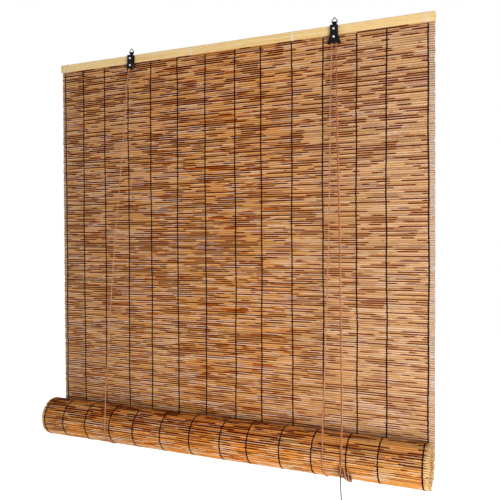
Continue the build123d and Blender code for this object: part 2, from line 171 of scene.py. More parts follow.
def hold(piece):
    """Makes one piece the active and only selected one."""
    let_go()
    piece.select_set(True)
    bpy.context.view_layer.objects.active = piece
    return piece


def settle(piece):
    """Puts a piece's place, turn and size into its mesh."""
    hold(piece)
    bpy.ops.object.transform_apply(location=True, rotation=True, scale=True)
    return piece


def named(piece, name):
    """Names a piece and its mesh."""
    piece.name = name
    piece.data.name = name
    return piece


def placed(name, data):
    """New object of a mesh, curve, lamp or camera, in the scene."""
    piece = bpy.data.objects.new(name, data)
    bpy.context.scene.collection.objects.link(piece)
    return piece


def join(pieces, name):
    """Joins pieces into one object."""
    let_go()
    for piece in pieces:
        piece.select_set(True)
    bpy.context.view_layer.objects.active = pieces[0]
    if len(pieces) > 1:
        bpy.ops.object.join()
    return named(bpy.context.view_layer.objects.active, name)


def pick_faces(piece, wanted):
    """Selects the faces that wanted() accepts, by centre and normal, and goes into edit mode."""
    hold(piece)
    bpy.ops.object.mode_set(mode="EDIT")
    bpy.ops.mesh.select_mode(type="FACE")
    bpy.ops.mesh.select_all(action="DESELECT")
    bpy.ops.object.mode_set(mode="OBJECT")
    for face in piece.data.polygons:
        face.select = wanted(face.center, face.normal)
    bpy.ops.object.mode_set(mode="EDIT")


def smooth(piece, degrees=50):
    """Shades a piece smooth where its faces meet at a small angle."""
    hold(piece)
    bpy.ops.object.shade_smooth_by_angle(angle=math.radians(degrees))


def dress(piece, finish, body, slot, *nodes):
    """Gives a piece its finish, the body that it rides on and the nodes that it stands for."""
    piece.data.materials.clear()
    piece.data.materials.append(finish)
    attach(piece, body)
    if nodes:
        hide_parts(*nodes)
    return piece


def shorten(piece):
    """Gives a hanging piece a mesh of its own."""
    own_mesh(piece)


# Finishes
def new_finish(name):
    """Empty node material with a Principled shader."""
    finish = bpy.data.materials.new(name)
    finish.use_nodes = True
    nodes = finish.node_tree.nodes
    nodes.clear()
    out = nodes.new("ShaderNodeOutputMaterial")
    shader = nodes.new("ShaderNodeBsdfPrincipled")
    finish.node_tree.links.new(shader.outputs["BSDF"], out.inputs["Surface"])
    return finish, nodes, finish.node_tree.links, shader


def noise(nodes, links, vector, detail, roughness):
    """Noise value over a vector."""
    texture = nodes.new("ShaderNodeTexNoise")
    texture.inputs["Scale"].default_value = 1.0
    texture.inputs["Detail"].default_value = detail
    texture.inputs["Roughness"].default_value = roughness
    links.new(vector, texture.inputs["Vector"])
    return texture.outputs["Fac"]


def grain_noise(nodes, links, scale, detail, roughness):
    """Noise over a piece's own coordinates, stretched."""
    place = nodes.new("ShaderNodeTexCoord")
    mapping = nodes.new("ShaderNodeMapping")
    mapping.inputs["Scale"].default_value = scale
    links.new(place.outputs["Object"], mapping.inputs["Vector"])
    return noise(nodes, links, mapping.outputs["Vector"], detail, roughness)


def ramp(nodes, links, value, stops):
    """Colours along a value."""
    node = nodes.new("ShaderNodeValToRGB")
    band = node.color_ramp
    while len(band.elements) < len(stops):
        band.elements.new(0.5)
    for element, (position, colour) in zip(band.elements, stops):
        element.position = position
        element.color = (*colour, 1)
    links.new(value, node.inputs["Fac"])
    return node.outputs["Color"]


def levels(nodes, links, value, *stops):
    """Greys along a value."""
    return ramp(nodes, links, value, [(position, (level, level, level)) for position, level in stops])


def mix(nodes, links, share, first, second, blend="MIX"):
    """Mixes two colours; a number or a colour is set on the socket."""
    node = nodes.new("ShaderNodeMix")
    node.data_type = "RGBA"
    node.blend_type = blend
    for socket, value in ((node.inputs[0], share), (node.inputs[6], first), (node.inputs[7], second)):
        if isinstance(value, bpy.types.NodeSocket):
            links.new(value, socket)
        elif isinstance(value, tuple):
            socket.default_value = (*value, 1)
        else:
            socket.default_value = value
    return node.outputs[2]


def shaded(nodes, links, colour, level):
    """Colour multiplied by another one."""
    return mix(nodes, links, 1.0, colour, level, "MULTIPLY")


def combine(nodes, links, operation, first, *others):
    """Values combined in turn by one operation; a number is set on the socket."""
    for other in others:
        node = nodes.new("ShaderNodeMath")
        node.operation = operation
        links.new(first, node.inputs[0])
        if isinstance(other, bpy.types.NodeSocket):
            links.new(other, node.inputs[1])
        else:
            node.inputs[1].default_value = other
        first = node.outputs["Value"]
    return first


def bump(nodes, links, height, shader, strength, distance):
    """Fine relief on a shader."""
    node = nodes.new("ShaderNodeBump")
    node.inputs["Strength"].default_value = strength
    node.inputs["Distance"].default_value = distance
    links.new(height, node.inputs["Height"])
    links.new(node.outputs["Normal"], shader.inputs["Normal"])


def attribute(nodes, name):
    """Value of a named attribute of the mesh."""
    node = nodes.new("ShaderNodeAttribute")
    node.attribute_name = name
    return node.outputs["Fac"]


def along_x(nodes, links):
    """Place along X in a piece's own coordinates."""
    place = nodes.new("ShaderNodeTexCoord")
    split = nodes.new("ShaderNodeSeparateXYZ")
    links.new(place.outputs["Object"], split.inputs["Vector"])
    return split.outputs["X"]


def stem_noise(nodes, links, per_metre, per_reed, detail):
    """Noise that runs along each reed and differs from reed to reed."""
    along = nodes.new("ShaderNodeCombineXYZ")
    links.new(combine(nodes, links, "MULTIPLY", along_x(nodes, links), per_metre), along.inputs["X"])
    links.new(combine(nodes, links, "MULTIPLY", attribute(nodes, "stem_tone"), per_reed), along.inputs["Y"])
    return noise(nodes, links, along.outputs["Vector"], detail, 0.5)


# Markings of a reed, the pale ones painted highlights and the dark ones partly painted shadow:
# lengths of colour in a metre, how far one reed differs from the next, detail
GROUND_RUN = (8.5, 190.0, 2.0)
MAUVE_RUN = (10.0, 270.0, 1.0)
HIGHLIGHT_RUN = (11.0, 610.0, 1.0)
DARK_RUN = (12.0, 430.0, 1.5)


def reed_finish(name, painted_highlight, light, tan, rust, dark, mauve, bleached, cut_end, depth):
    """Carbonised reed: tan stems with rust and mauve lengths, thin painted highlights, thin dark stripes that
    are partly dark bark and partly painted shadow between the reeds, painted shade in the creases, and pale
    dry ends. The tones of its stems differ by the depth."""
    finish, nodes, links, shader = new_finish(name)
    across = attribute(nodes, "stem_across")
    place = combine(nodes, links, "ADD", along_x(nodes, links), HALF_WIDTH)

    # Lengths of the ground colours, bleached towards both ends of the blind
    ground_run = stem_noise(nodes, links, *GROUND_RUN)
    colour = ramp(nodes, links, ground_run, ((0.355, rust), (0.385, tan), (0.57, tan), (0.62, light)))
    mauve_length = levels(nodes, links, stem_noise(nodes, links, *MAUVE_RUN), (0.59, 0), (0.61, 0.8))
    colour = mix(nodes, links, mauve_length, colour, mauve)
    fade = levels(nodes, links, place,
                  (0.0, 0.24), (0.14, 0.15), (0.40, 0), (0.60, 0), (0.84, 0.32), (1.0, 0.38))
    colour = mix(nodes, links, fade, colour, bleached)
    tone = attribute(nodes, "stem_tone")
    tone_level = levels(nodes, links, tone, (0.0, 1 - depth), (0.4, 1), (0.7, 1), (1.0, 1 - 0.7 * depth))
    colour = shaded(nodes, links, colour, tone_level)

    # Painted highlights on one side of each reed, and dark stripes with a rust edge on the other, partly dark
    # bark and partly painted shadow between the reeds; all fainter, and the dark ones fewer, towards the right
    # end
    fading_to_right = levels(nodes, links, place, (0.45, 1), (0.85, 0.88))
    highlight_length = levels(nodes, links, stem_noise(nodes, links, *HIGHLIGHT_RUN), (0.54, 0), (0.56, 0.9))
    highlight_stripe = levels(nodes, links, across, (0.54, 0), (0.62, 1), (0.82, 1), (0.90, 0))
    fewer = levels(nodes, links, place, (0.45, 0), (0.85, 0.035))
    dark_run = combine(nodes, links, "SUBTRACT", stem_noise(nodes, links, *DARK_RUN), fewer)
    dark_length = levels(nodes, links, dark_run, (0.485, 0), (0.505, 1))
    rust_stripe = levels(nodes, links, across, (0.04, 1), (0.52, 1), (0.60, 0))
    dark_stripe = levels(nodes, links, across, (0.04, 1), (0.36, 1), (0.46, 0))
    for length, stripe, stripe_colour in (
        (highlight_length, highlight_stripe, painted_highlight), (dark_length, rust_stripe, rust), (dark_length, dark_stripe, dark),
    ):
        share = combine(nodes, links, "MULTIPLY", length, stripe, fading_to_right)
        colour = mix(nodes, links, share, colour, stripe_colour)

    # Fibres, dry ends, and painted shade in the creases between the reeds, shallower towards the right end
    fibre = grain_noise(nodes, links, (30, 1900, 1900), 3.0, 0.6)
    fibre_level = ramp(nodes, links, fibre, ((0.3, (0.84, 0.82, 0.80)), (0.65, WHITE)))
    colour = shaded(nodes, links, colour, fibre_level)
    dry = combine(nodes, links, "MULTIPLY", attribute(nodes, "stem_end"), 0.7)
    colour = mix(nodes, links, dry, colour, cut_end)
    crease_shade = ramp(nodes, links, across, (
        (0.04, (0.16, 0.075, 0.035)), (0.16, (0.62, 0.46, 0.34)), (0.30, WHITE), (0.80, WHITE),
        (0.98, (0.42, 0.27, 0.17)),
    ))
    shallow = levels(nodes, links, place, (0.35, 0), (0.85, 0.35))
    colour = shaded(nodes, links, colour, mix(nodes, links, shallow, crease_shade, WHITE))
    links.new(colour, shader.inputs["Base Color"])
    links.new(levels(nodes, links, fibre, (0.2, 0.70), (0.8, 0.52)), shader.inputs["Roughness"])
    shader.inputs["Specular IOR Level"].default_value = 0.02
    bump(nodes, links, fibre, shader, 0.35, 0.0004)
    return finish


def wood_finish(name, late, middle, early):
    """Planed wood with grain along X, from its late wood to its early wood."""
    finish, nodes, links, shader = new_finish(name)
    grain = grain_noise(nodes, links, (5, 260, 260), 5.0, 0.6)
    pores = grain_noise(nodes, links, (40, 1500, 1500), 2.0, 0.5)
    colour = ramp(nodes, links, grain, ((0.30, late), (0.48, middle), (0.62, early)))
    pore_level = ramp(nodes, links, pores, ((0.32, (0.84, 0.80, 0.74)), (0.5, WHITE)))
    links.new(shaded(nodes, links, colour, pore_level), shader.inputs["Base Color"])
    links.new(levels(nodes, links, grain, (0.3, 0.62), (0.7, 0.45)), shader.inputs["Roughness"])
    shader.inputs["Specular IOR Level"].default_value = 0.3
    bump(nodes, links, grain, shader, 0.25, 0.0005)
    return finish


def fibre_finish(name, dark, light, scale=1500, roughness=0.8, sheen=0.0):
    """Twisted thread or cord: two shades in fine fibres."""
    finish, nodes, links, shader = new_finish(name)
    fuzz = grain_noise(nodes, links, (scale, scale, scale), 4.0, 0.65)
    tint = grain_noise(nodes, links, (60, 60, 25), 2.0, 0.5)
    colour = ramp(nodes, links, fuzz, ((0.32, dark), (0.66, light)))
    tint_level = ramp(nodes, links, tint, ((0.35, (0.84, 0.82, 0.80)), (0.62, WHITE)))
    links.new(shaded(nodes, links, colour, tint_level), shader.inputs["Base Color"])
    shader.inputs["Roughness"].default_value = roughness
    shader.inputs["Specular IOR Level"].default_value = 0.06
    shader.inputs["Sheen Weight"].default_value = sheen
    bump(nodes, links, fuzz, shader, 0.5, 0.0003)
    return finish


def metal_finish(name, colour, rubbed, metallic, specular, smooth_level, rough_level):
    """Painted or bare steel with faint mottling and rubbed patches."""
    finish, nodes, links, shader = new_finish(name)
    mottle = grain_noise(nodes, links, (420, 420, 420), 5.0, 0.6)
    grit = grain_noise(nodes, links, (2600, 2600, 2600), 2.0, 0.5)
    links.new(ramp(nodes, links, mottle, ((0.42, colour), (0.72, rubbed))), shader.inputs["Base Color"])
    rough = levels(nodes, links, mottle, (0.3, smooth_level), (0.7, rough_level))
    links.new(rough, shader.inputs["Roughness"])
    shader.inputs["Metallic"].default_value = metallic
    shader.inputs["Specular IOR Level"].default_value = specular
    bump(nodes, links, grit, shader, 0.12, 0.0002)
    return finish


mat_reed = reed_finish(
    "mat_reed", painted_highlight=(0.93, 0.68, 0.50), light=(0.87, 0.495, 0.225), tan=(0.82, 0.385, 0.122),
    rust=(0.52, 0.120, 0.016), dark=(0.066, 0.005, 0.002), mauve=(0.50, 0.205, 0.112),
    bleached=(0.68, 0.535, 0.35), cut_end=(0.70, 0.49, 0.34), depth=0.26)
roll_reed = reed_finish(
    "roll_reed", painted_highlight=(0.93, 0.71, 0.48), light=(0.92, 0.50, 0.18), tan=(1.0, 0.37, 0.076),
    rust=(0.62, 0.120, 0.010), dark=(0.070, 0.005, 0.002), mauve=(0.42, 0.145, 0.060),
    bleached=(0.72, 0.43, 0.15), cut_end=(0.90, 0.66, 0.31), depth=0.42)
rail_wood = wood_finish("pale_rail_wood", (0.82, 0.52, 0.21), (0.92, 0.64, 0.28), (0.95, 0.71, 0.36))
rod_wood = wood_finish("brown_rod_wood", (0.34, 0.14, 0.035), (0.46, 0.21, 0.06), (0.52, 0.26, 0.085))
white_cotton = fibre_finish(
    "white_cotton", (0.80, 0.74, 0.62), (0.96, 0.92, 0.82), scale=1400, roughness=0.85, sheen=0.2)
warp_thread = fibre_finish(
    "warp_thread", (0.010, 0.003, 0.002), (0.040, 0.014, 0.008), scale=1700, roughness=0.85)
lift_cord = fibre_finish("salmon_cord", (0.43, 0.155, 0.074), (0.74, 0.365, 0.205))
# The red-brown cord is darker than the salmon one partly by its own colour and partly as painted shade on the
# pull cord's shaded side
pull_cord = fibre_finish("red_brown_cord", (0.29, 0.070, 0.034), (0.56, 0.185, 0.095))
# The maroon cord is partly a second run of cord in the hank and partly painted shadow between its loops and
# the roll
maroon_cord_and_shade = fibre_finish("maroon_cord", (0.060, 0.010, 0.007), (0.20, 0.050, 0.028))
tail_string = fibre_finish(
    "grey_string", (0.006, 0.005, 0.006), (0.030, 0.027, 0.030), scale=1700, roughness=0.85)
black_steel = metal_finish(
    "black_painted_steel", (0.004, 0.004, 0.005), (0.014, 0.013, 0.013),
    metallic=0.0, specular=0.10, smooth_level=0.40, rough_level=0.56)
rivet_steel = metal_finish(
    "bright_rivet_steel", (0.62, 0.62, 0.63), (0.76, 0.76, 0.76),
    metallic=1.0, specular=0.25, smooth_level=0.24, rough_level=0.38)
pulley_steel = metal_finish(
    "brass_plated_pulley", (0.62, 0.46, 0.20), (0.74, 0.58, 0.30),
    metallic=1.0, specular=0.25, smooth_level=0.28, rough_level=0.44)


# Reeds
def reed_stem():
    """One cut reed along X, hollow at both ends, with its nodes where it may bend."""
    let_go()
    bpy.ops.mesh.primitive_cylinder_add(vertices=REED_SIDES, radius=REED_RADIUS, depth=2 * HALF_WIDTH,
                                        rotation=(0, math.pi / 2, 0))
    stem = settle(bpy.context.object)
    pick_faces(stem, lambda centre, normal: abs(normal.x) > END_FACING)
    bpy.ops.mesh.inset(thickness=HOLLOW_WALL)
    bpy.ops.mesh.extrude_region_shrink_fatten(TRANSFORM_OT_shrink_fatten={"value": -HOLLOW_DEPTH})
    for x in REED_BENDS:
        bpy.ops.mesh.select_all(action="SELECT")
        bpy.ops.mesh.bisect(plane_co=(x, 0, 0), plane_no=(1, 0, 0))
    bpy.ops.object.mode_set(mode="OBJECT")
    return stem


def copies(piece, count):
    """Repeats a modelled piece in its own mesh, all in one place, and returns the corners of one copy."""
    hold(piece)
    each = np.empty(len(piece.data.vertices) * 3)
    piece.data.vertices.foreach_get("co", each)
    row = piece.modifiers.new("copies", "ARRAY")
    row.count = count
    row.use_relative_offset = False
    bpy.ops.object.modifier_apply(modifier=row.name)
    return each.reshape(-1, 3)


def set_corners(piece, corners):
    """Moves all corners of a piece."""
    piece.data.vertices.foreach_set("co", np.concatenate(corners).ravel())
    piece.data.update()


def bends(wander):
    """Rates, starts and sizes of the waves that bend a reed one way."""
    return [(chance.uniform(*BEND_RATES), chance.uniform(*PHASES), chance.gauss(0, wander))
            for _ in range(BENDS_EACH_WAY)]


def lay_reeds(name, places, left_shares, right_shares, wander, dry_from, right_spread):
    """Reeds laid at places of (y, z, radius share, outward angle), each a little bent, with its own length
    and tone."""
    stems = reed_stem()
    one = copies(stems, len(places))
    x = one[:, 0]
    along = (x + HALF_WIDTH) / (2 * HALF_WIDTH)
    left_end = x < NEAR - REED_END
    right_end = x > REED_END - NEAR
    dry = np.where(np.abs(x) > dry_from - NEAR, np.where(right_end, 1.0, 0.5), 0.0)
    hollow = (np.abs(x) < HALF_WIDTH - REED_RADIUS) & (np.hypot(one[:, 1], one[:, 2]) < HOLLOW_REACH)
    laid = []
    tones = []
    across = []
    for y, z, share, outward in places:
        turn = chance.uniform(0, FULL_TURN)
        sideways = bends(wander)
        upward = bends(wander)
        left_cut = -HALF_WIDTH + abs(chance.gauss(0, CUT_SPREAD))
        right_cut = HALF_WIDTH - abs(chance.gauss(0, right_spread))
        swell = share * (1 + SWELL * np.sin(x * chance.uniform(*SWELL_RATES) + chance.uniform(*PHASES)))
        swell = np.where(left_end, chance.uniform(*left_shares), swell)
        swell = np.where(right_end, chance.uniform(*right_shares), swell)
        sway = sum(size * np.sin(rate * x + start) for rate, start, size in sideways)
        rise = sum(size * np.sin(rate * x + start) for rate, start, size in upward)
        corner_y = one[:, 1] * math.cos(turn) - one[:, 2] * math.sin(turn)
        corner_z = one[:, 1] * math.sin(turn) + one[:, 2] * math.cos(turn)
        laid.append(np.stack([
            left_cut + along * (right_cut - left_cut),
            y + corner_y * swell + sway,
            z + corner_z * swell + rise,
        ], 1))
        tones.append(np.full(len(one), chance.random()))
        lower = (corner_y * math.sin(outward) - corner_z * math.cos(outward)) / (2 * REED_RADIUS) + 0.5
        # Corners inside the hollow ends sit at the bottom of the across value, so the finish paints shade in
        # them
        across.append(np.where(hollow, 0.0, lower))
    set_corners(stems, laid)
    for label, values in (("stem_tone", tones), ("stem_across", across), ("stem_end", [dry] * len(places))):
        stems.data.attributes.new(label, "FLOAT", "POINT").data.foreach_set("value", np.concatenate(values))
    smooth(named(stems, name))
    return stems


mat_places = []
for number in range(REED_COUNT):
    z = MAT_TOP - (number + 0.5) * REED_PITCH
    clamped = z > RAIL_BOTTOM - REED_PITCH
    y = MAT_Y if clamped else MAT_Y + chance.gauss(0, MAT_Y_SPREAD)
    mat_places.append((y, z, CLAMPED_SHARE if clamped else chance.uniform(*MAT_SHARES), math.pi))
mat_stems = lay_reeds(
    "mat_reeds", mat_places, MAT_LEFT_SHARES, MAT_RIGHT_SHARES, MAT_WANDER, REED_END, CUT_SPREAD)
dress(mat_stems, mat_reed, "headrail", "reed", "reed_mat")
shorten(mat_stems)


def on_half_turn(number, radius, share):
    """Point on a half turn of the roll: even ones pass below its axis to the front, odd ones above it to
    the back."""
    shift = -WINDING_PITCH / 2 if number % 2 else 0
    angle = -math.pi * share if number % 2 == 0 else math.pi - math.pi * share
    return ROLL_Y + shift + radius * math.cos(angle), MAT_BOTTOM + radius * math.sin(angle), angle


roll_places = []
outer_reeds = []
for number in range(HALF_TURNS):
    middle = ROLL_RADIUS - REED_RADIUS - number * WINDING_PITCH / 2
    reeds = round(math.pi * middle / REED_PITCH)
    for reed in range(reeds):
        share = (reed + 0.5) / reeds
        y, z, angle = on_half_turn(number, middle, share)
        roll_places.append((y, z, chance.uniform(*ROLL_SHARES), angle))
        if number == 0 or number == 1 and share < OUTER_SHARE:
            outer_reeds.append(roll_places[-1])
roll_stems = lay_reeds(
    "roll_reeds", roll_places, ROLL_END_SHARES, ROLL_END_SHARES, ROLL_WANDER, REED_TIP, ROLL_CUT_SPREAD)
dress(roll_stems, roll_reed, "roll", "reed", "reed_roll")


# Warp threads
def stitch():
    """Half turn of thread round a reed, about the X axis, with its crown towards +Y."""
    let_go()
    bpy.ops.mesh.primitive_circle_add(vertices=6, radius=THREAD_THICKNESS, fill_type="NOTHING",
                                      location=(0, 0, REED_RADIUS), rotation=(math.pi / 2, 0, 0))
    arch = settle(bpy.context.object)
    bpy.ops.object.mode_set(mode="EDIT")
    bpy.ops.mesh.select_all(action="SELECT")
    bpy.ops.transform.resize(value=(THREAD_WIDTH / (2 * THREAD_THICKNESS), 1, 1), orient_type="GLOBAL")
    bpy.ops.mesh.spin(steps=4, angle=math.pi, center=(0, 0, 0), axis=(1, 0, 0))
    bpy.ops.mesh.select_all(action="SELECT")
    bpy.ops.mesh.normals_make_consistent(inside=False)
    bpy.ops.object.mode_set(mode="OBJECT")
    return arch


def sew(name, reeds):
    """Half turns of thread over reeds at (y, z, radius share, outward angle), in each row, a little askew."""
    arches = stitch()
    one = copies(arches, len(THREAD_PLACES) * len(reeds))
    sewn = []
    for x in THREAD_PLACES:
        start = chance.uniform(*PHASES)
        for y, z, share, outward in reeds:
            lean = chance.uniform(*THREAD_LEANS)
            side = chance.gauss(0, THREAD_JITTER)
            side += SLOW_SWAY * math.sin(SLOW_RATE * z + start)
            side += QUICK_SWAY * math.sin(QUICK_RATE * z + 2 * start)
            crown_y = share * (one[:, 1] * math.cos(outward) - one[:, 2] * math.sin(outward))
            crown_z = share * (one[:, 1] * math.sin(outward) + one[:, 2] * math.cos(outward))
            sewn.append(np.stack([x + side + one[:, 0] + lean * one[:, 2], y + crown_y, z + crown_z], 1))
    set_corners(arches, sewn)
    smooth(named(arches, name), 80)
    return arches


sewn_reeds = [place for place in mat_places if place[1] < THREAD_TOP]
reed_backs = [(y, z, share, 0) for y, z, share, _ in sewn_reeds]
for name, reeds in (("mat_thread_front", sewn_reeds), ("mat_thread_back", reed_backs)):
    mat_thread = sew(name, reeds)
    dress(mat_thread, warp_thread, "headrail", "warp_thread", "mat_threads")
    shorten(mat_thread)
dress(sew("roll_thread_rings", outer_reeds), warp_thread, "roll", "warp_thread", "roll_threads")


# Cords
def new_path(name, kind, points):
    """Curve of one spline through or near points."""
    path = bpy.data.curves.new(name, "CURVE")
    path.dimensions = "3D"
    spline = path.splines.new(kind)
    spline.points.add(len(points) - 1)
    for corner, place in zip(spline.points, points):
        corner.co = (*place, 1)
    return path, spline


def route_line(route, steps):
    """Points along the smooth line of a route."""
    path, spline = new_path("route", "NURBS", route)
    path.resolution_u = steps
    spline.order_u = 3
    spline.use_endpoint_u = True
    holder = placed("route", path)
    mesh = bpy.data.meshes.new_from_object(holder)
    line = [corner.co.copy() for corner in mesh.vertices]
    bpy.data.objects.remove(holder)
    bpy.data.meshes.remove(mesh)
    return line


def fall_line(route):
    """Points along a fall, about as many whatever its route has."""
    return route_line(route, FALL_POINTS // (len(route) - 1))


def round_wire(name, line, radius, sides, closed=False):
    """Round wire along a line of points."""
    path, spline = new_path(name, "POLY", line)
    path.bevel_depth = radius
    path.bevel_resolution = sides // 2 - 2
    path.use_fill_caps = not closed
    spline.use_cyclic_u = closed
    hold(placed(name, path))
    bpy.ops.object.convert(target="MESH")
    wire = bpy.context.object
    smooth(wire, 80)
    return wire


def wound(line, offset, lay, start):
    """Line that winds round another one, from a side square to a direction that no cord runs along."""
    winding = []
    run = 0.0
    for number, place in enumerate(line):
        before = line[max(number - 1, 0)]
        after = line[min(number + 1, len(line) - 1)]
        run += (place - before).length
        ahead = (after - before).normalized()
        side = ahead.cross(ASKEW).normalized()
        front = ahead.cross(side)
        angle = start + FULL_TURN * run / lay
        winding.append(place + offset * (side * math.cos(angle) + front * math.sin(angle)))
    return winding


def laid_cord(name, line, radius, span=slice(None)):
    """Cord of three strands along a line, or along a span of its points, laid at about three diameters
    a turn."""
    strand = STRAND_SHARE * radius
    wires = []
    for number in range(STRANDS):
        winding = wound(line, radius - strand, LAY_RADII * radius, number * FULL_TURN / STRANDS)[span]
        wires.append(round_wire(name, winding, strand, sides=4))
    return join(wires, name)


def span_between(line, high_z, low_z):
    """Span of a falling line's points between two heights, with the point above it."""
    inside = [number for number, place in enumerate(line) if low_z <= place.z <= high_z]
    return slice(max(inside[0] - 1, 0), inside[-1] + 1)


def hang_in_front(name, line, radius, finish, node):
    """Cord in front of the roll: a neck that stays in its hanger, a fall under it, and a foot that climbs
    with the roll."""
    neck = laid_cord(name + "_neck", line, radius, span_between(line, line[0].z, MOUTH_Z))
    dress(neck, finish, "headrail", "lift_cord", node)
    fall = laid_cord(name, line, radius, span_between(line, MOUTH_Z, CLIMB_Z))
    dress(fall, finish, "headrail", "lift_cord", node)
    shorten(fall)
    foot = laid_cord(name + "_foot", line, radius, span_between(line, CLIMB_Z, line[-1].z))
    dress(foot, finish, "slings", "lift_cord", node)
    return fall


left_front_route = (
    (-0.2725, -0.0218, -0.018), (-0.2735, -0.0235, -0.036), (-0.2806, -0.0453, -0.268),
    (-0.2899, -0.0673, -0.502), (-0.2942, -0.0864, -0.706), (-0.2945, -0.1029, -0.881),
    (LEFT_SLING_X, SLING_FRONT_Y, MAT_BOTTOM),
)
right_front_route = (
    (0.2765, -0.0218, -0.018), (0.2763, -0.0235, -0.036), (0.2759, -0.0355, -0.163), (0.2784, -0.0504, -0.322),
    (0.2803, -0.0671, -0.500), (0.2790, -0.0875, -0.717), (0.2771, -0.1034, -0.885),
    (RIGHT_SLING_X, SLING_FRONT_Y, MAT_BOTTOM),
)
left_back_route = (
    (-0.264, -0.0029, -0.010), (-0.270, -0.0029, -0.10), (-0.290, -0.0029, -0.6),
    (LEFT_SLING_X, SLING_BACK_Y, MAT_BOTTOM),
)
right_back_route = (
    (0.274, -0.0029, -0.010), (0.2725, -0.0029, -0.3), (0.2725, -0.0029, -0.7),
    (RIGHT_SLING_X, SLING_BACK_Y, MAT_BOTTOM),
)
pull_route = (
    (0.2855, -0.0218, -0.024), (0.2862, -0.0235, -0.042), (0.2930, -0.0421, -0.233), (0.2998, -0.0531, -0.345),
    (0.3066, -0.0681, -0.500), (0.3150, -0.0890, -0.714), (0.3203, -0.1032, -0.860), (0.3192, -0.1072, -0.902),
    (0.3212, -0.1102, -0.932), PULL_END,
)
for side, route in (("left", left_front_route), ("right", right_front_route)):
    hang_in_front(side + "_front_fall", fall_line(route), CORD_RADIUS, lift_cord, side + "_front_cord")
for side, route in (("left", left_back_route), ("right", right_back_route)):
    back_fall = laid_cord(side + "_back_fall", fall_line(route), CORD_RADIUS)
    dress(back_fall, lift_cord, "headrail", "lift_cord", side + "_back_cord")
    shorten(back_fall)

pull_line = route_line(pull_route, steps=110)
# The red-brown leg, on the salmon leg's left at the foot, is partly the cord's own darker colour and partly
# painted shade on the pull cord's shaded side
for name, finish, start in (
    ("pull_cord_lit_leg", lift_cord, LIT_LEG_START), ("pull_cord_red_leg", pull_cord, math.pi + LIT_LEG_START),
):
    leg_line = wound(pull_line, PULL_LEG_RADIUS, PULL_TWIST, start)
    hang_in_front(name, leg_line, PULL_LEG_RADIUS, finish, "pull_cord")
free_line = pull_line[span_between(pull_line, MOUTH_Z, CLIMB_Z)]

# Slings under the roll, on a polygon whose sides touch its round
slings = []
sling_corner = SLING_RADIUS / math.cos(math.radians(SLING_STEP / 2))
for x in (LEFT_SLING_X, RIGHT_SLING_X):
    route = [(x, SLING_FRONT_Y, MAT_BOTTOM)]
    for turn in range(180 + SLING_STEP // 2, 360, SLING_STEP):
        angle = math.radians(turn)
        route.append((x, ROLL_Y + sling_corner * math.cos(angle), MAT_BOTTOM + sling_corner * math.sin(angle)))
    route.append((x, SLING_BACK_Y, MAT_BOTTOM))
    slings.append(laid_cord("sling", route_line(route, steps=22), CORD_RADIUS))
dress(join(slings, "cord_sling_pair"), lift_cord, "slings", "lift_cord", "cord_slings")

# Cords over the pulleys, by (side, height) from each axle
left_head = ((0.006, 0.0065), (0.001, 0.0065), (-0.0040, 0.0065), (-0.0065, 0.0040), (-0.0065, 0))
lock_head = (
    (-0.0045, 0), (-0.0045, 0.0028), (-0.0028, 0.0045), (0.0028, 0.0045), (0.0045, 0.0028), (0.0045, 0),
    (0.0045, -0.006),
)
heads = []
for x, corners in ((LEFT_X, left_head), (LOCK_X, lock_head)):
    route = [(x + side, PULLEY_Y, AXLE_Z + height) for side, height in corners]
    heads.append(laid_cord("head", route_line(route, steps=8), CORD_RADIUS))
dress(join(heads, "cords_over_pulleys"), lift_cord, "headrail", "lift_cord", "cord_heads")

# Hank of loops at the foot of the pull cord, with its thin tail
hank_route = (
    PULL_END, (0.3185, -0.1126, -0.964), (0.3190, -0.1110, -0.972),
    (0.3222, -0.1100, -0.9735), (0.3248, -0.1105, -0.967), (0.3250, -0.1130, -0.960),
    (0.3272, -0.1150, -0.9585), (0.3295, -0.1152, -0.964), (0.3292, -0.1145, -0.974),
    (0.3300, -0.1110, -0.9780), (0.3325, -0.1100, -0.972), (0.3328, -0.1130, -0.9645),
    (0.3350, -0.1150, -0.9630), (0.3373, -0.1152, -0.969), (0.3370, -0.1145, -0.979),
    (0.3380, -0.1110, -0.9825), (0.3405, -0.1100, -0.977), (0.3408, -0.1130, -0.9695),
    (0.3428, -0.1150, -0.968), (0.3448, -0.1152, -0.974), (0.3444, -0.1140, -0.982),
    (0.3400, -0.1120, -0.9845), (0.3320, -0.1110, -0.9805), (0.3240, -0.1105, -0.9760),
    (0.3200, -0.1105, -0.9720),
)
# The maroon leg, to the left of and behind the salmon one, is partly a second run of cord and partly painted
# shadow between the loops and the roll
for name, finish, shift in (
    ("hank_lit_leg", lift_cord, (0, 0, 0)), ("hank_red_leg", maroon_cord_and_shade, (-0.0026, 0.0022, -0.0008)),
):
    hank_line = [place + Vector(shift) for place in route_line(hank_route, steps=14)]
    dress(laid_cord(name, hank_line, HANK_RADIUS), finish, "slings", "lift_cord", "cord_hank")
tail_route = (
    (0.3195, -0.1126, -0.974), (0.3197, -0.1126, -0.990), (0.3205, -0.1126, -1.020), (0.3230, -0.1126, -1.054),
)
tail_line = route_line(tail_route, steps=60)
tail = laid_cord("thin_tail", tail_line, TAIL_RADIUS)
dress(tail, tail_string, "slings", "tail_string", "cord_tail")
knot_route = []
for step in range(KNOT_STEPS):
    angle = step * FULL_TURN / KNOT_STEPS_A_TURN
    knot_route.append((
        KNOT_PLACE[0] + KNOT_LOOP * math.cos(angle),
        KNOT_PLACE[1] + KNOT_LOOP * math.sin(angle),
        KNOT_PLACE[2] - KNOT_HEIGHT * step / (KNOT_STEPS - 1),
    ))
knot = laid_cord("tail_knot", route_line(knot_route, steps=6), KNOT_RADIUS)
dress(knot, tail_string, "slings", "tail_string", "cord_tail")

